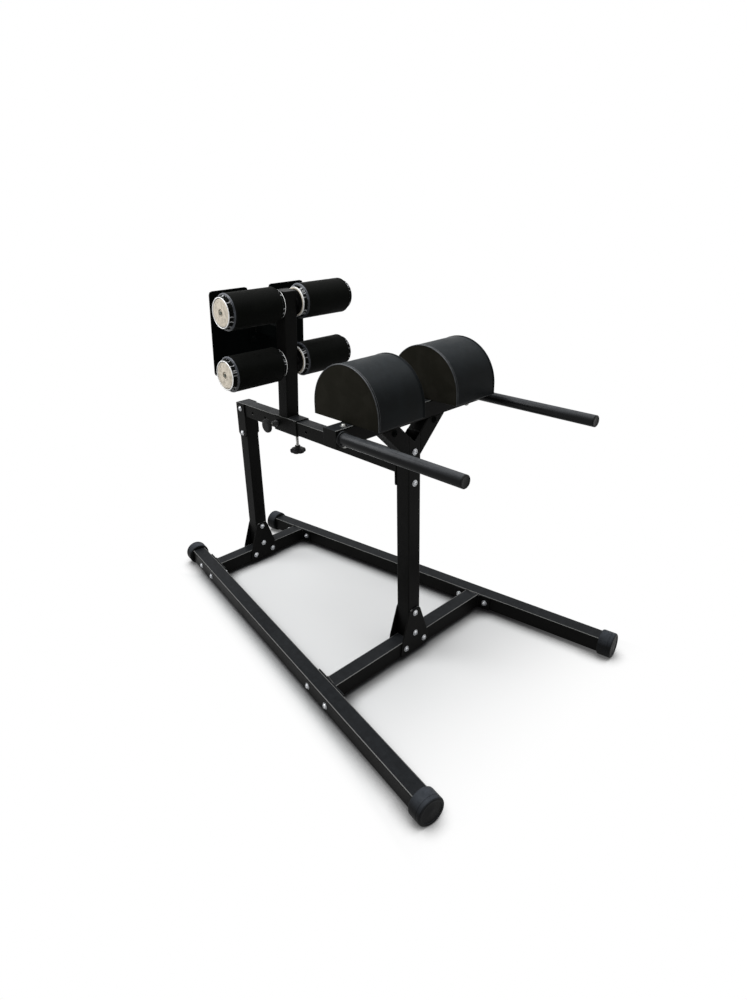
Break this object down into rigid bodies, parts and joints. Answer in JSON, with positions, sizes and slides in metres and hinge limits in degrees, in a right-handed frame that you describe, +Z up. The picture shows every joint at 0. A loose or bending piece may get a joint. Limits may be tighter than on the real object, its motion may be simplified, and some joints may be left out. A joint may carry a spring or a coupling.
{
  "type": "glute ham developer",
  "caption": "Exercise bench with a splayed steel floor frame, half-round thigh pads on a forked head, long handles, and a sliding foot carriage with rollers and a foot plate.",
  "frame": {"origin": "on the floor, in the middle of the footprint of the floor frame", "axes": "+X along the machine towards the handle tips, +Y to the left of a person who looks that way, +Z up"},
  "size_m": [1.816, 1.1318, 1.3521],
  "materials": {
    "black_paint": "satin black powder coat",
    "grey_rubber": "matt dark grey rubber",
    "black_plastic": "matt black",
    "black_vinyl": "smooth black vinyl over foam",
    "birch_board": "raw plywood",
    "zinc_plate": "bright zinc plate",
    "bare_steel": "turned steel",
    "cream_nylon": "pale moulded nylon"
  },
  "bodies": {
    "frame": {"left_floor_rail": "black_paint", "left_front_rail_cap": "grey_rubber", "left_rear_rail_cap": "grey_rubber", "right_floor_rail": "black_paint", "right_front_rail_cap": "grey_rubber", "right_rear_rail_cap": "grey_rubber", "front_cross_tube": "black_paint", "front_upright_gusset_fore": "black_paint", "front_upright_gusset_aft": "black_paint", "front_upright": "black_paint", "rear_cross_tube": "black_paint", "rear_upright_gusset_fore": "black_paint", "rear_upright_gusset_aft": "black_paint", "rear_upright": "black_paint", "main_beam": "black_paint", "beam_end_plug": "black_plastic", "left_beam_bracket": "black_paint", "right_beam_bracket": "black_paint", "lower_bracket_bolt": "zinc_plate", "upper_bracket_bolt": "zinc_plate", "lower_flange_bolt": "zinc_plate", "upper_flange_bolt": "zinc_plate", "left_strut": "black_paint", "left_strut_bolt": "zinc_plate", "right_strut": "black_paint", "right_strut_bolt": "zinc_plate", "crossbar": "black_paint", "left_handle": "black_paint", "left_handle_plug": "black_plastic", "left_thigh_pad": "black_vinyl", "left_pad_board": "birch_board", "right_handle": "black_paint", "right_handle_plug": "black_plastic", "right_thigh_pad": "black_vinyl", "right_pad_board": "birch_board"},
    "carriage": {"carriage_sleeve": "black_paint", "foot_post": "black_paint", "foot_post_cap": "black_plastic", "foot_plate": "black_paint", "foot_plate_arm": "black_paint", "upper_axle": "bare_steel", "lower_axle": "bare_steel", "lock_pin_barrel": "bare_steel", "upper_left_axle_bolt": "zinc_plate", "upper_right_axle_bolt": "zinc_plate", "lower_left_axle_bolt": "zinc_plate", "lower_right_axle_bolt": "zinc_plate"},
    "lock_pin": {"lock_pin": "bare_steel", "lock_pin_knob": "black_plastic"},
    "clamp_screw": {"clamp_screw": "bare_steel", "clamp_knob": "black_plastic"},
    "upper_left_roller": {"upper_left_roller_hub": "cream_nylon", "upper_left_roller_pad": "black_vinyl"},
    "upper_right_roller": {"upper_right_roller_hub": "cream_nylon", "upper_right_roller_pad": "black_vinyl"},
    "lower_left_roller": {"lower_left_roller_hub": "cream_nylon", "lower_left_roller_pad": "black_vinyl"},
    "lower_right_roller": {"lower_right_roller_hub": "cream_nylon", "lower_right_roller_pad": "black_vinyl"}
  },
  "joints": [
    {"name": "carriage_slide", "type": "slide", "parent": "frame", "child": "carriage", "axis": [1, 0, 0], "range_m": [-0.19, 0.19]},
    {"name": "lock_pin_push", "type": "slide", "parent": "carriage", "child": "lock_pin", "axis": [0, 1, 0], "range_m": [0, 0.014]},
    {"name": "clamp_screw_turn", "type": "hinge", "parent": "carriage", "child": "clamp_screw", "pos_m": [-0.312, 0, 0.7], "axis": [0, 0, 1], "range_deg": [-720, 60]},
    {"name": "upper_left_roller_spin", "type": "hinge", "parent": "carriage", "child": "upper_left_roller", "pos_m": [-0.32476, 0, 1.28225], "axis": [0, 1, 0], "continuous": true},
    {"name": "upper_right_roller_spin", "type": "hinge", "parent": "carriage", "child": "upper_right_roller", "pos_m": [-0.32476, 0, 1.28225], "axis": [0, 1, 0], "continuous": true},
    {"name": "lower_left_roller_spin", "type": "hinge", "parent": "carriage", "child": "lower_left_roller", "pos_m": [-0.34201, 0, 1.04738], "axis": [0, 1, 0], "continuous": true},
    {"name": "lower_right_roller_spin", "type": "hinge", "parent": "carriage", "child": "lower_right_roller", "pos_m": [-0.34201, 0, 1.04738], "axis": [0, 1, 0], "continuous": true}
  ]
}
